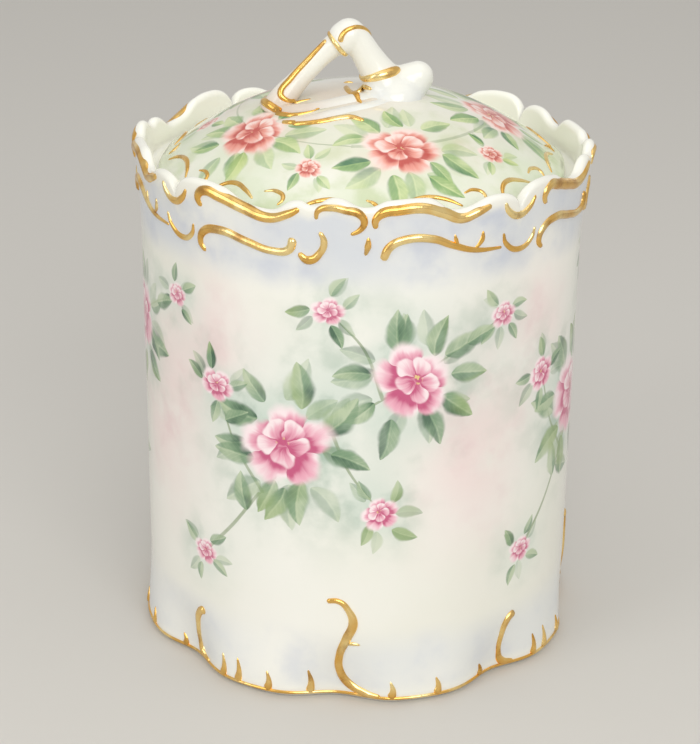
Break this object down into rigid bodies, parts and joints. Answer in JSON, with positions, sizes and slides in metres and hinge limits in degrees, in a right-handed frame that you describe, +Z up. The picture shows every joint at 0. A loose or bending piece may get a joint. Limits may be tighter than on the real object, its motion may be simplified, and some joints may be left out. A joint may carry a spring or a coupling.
{
  "type": "lidded porcelain jar",
  "caption": "Round lidded porcelain jar with a lobed foot, ruffled rim, raised gilt scrolls and a domed lift-off lid with a twig handle, for biscuits or dry goods.",
  "frame": {"origin": "centre of the foot, on the surface that the jar stands on", "axes": "+Z up along the jar's axis, -Y towards the front of the jar, +X to the right seen from the front"},
  "size_m": [0.1356, 0.1356, 0.1868],
  "materials": {
    "porcelain_body": "clear gloss glaze over painted washes and flowers",
    "porcelain_lid": "clear gloss glaze over painted washes and flowers",
    "porcelain_handle": "clear gloss white glaze",
    "gilding": "burnished gold over raised porcelain"
  },
  "bodies": {
    "jar": {"jar_body": "porcelain_body", "rim_scrolls": "gilding", "collar_scrolls": "gilding", "foot_scrolls": "gilding"},
    "lid": {"lid_dome": "porcelain_lid", "lid_handle": "porcelain_handle", "handle_bands": "gilding"}
  },
  "joints": [
    {"name": "lid_lift", "type": "slide", "parent": "jar", "child": "lid", "axis": [0, 0, 1], "range_m": [0, 0.08]}
  ]
}
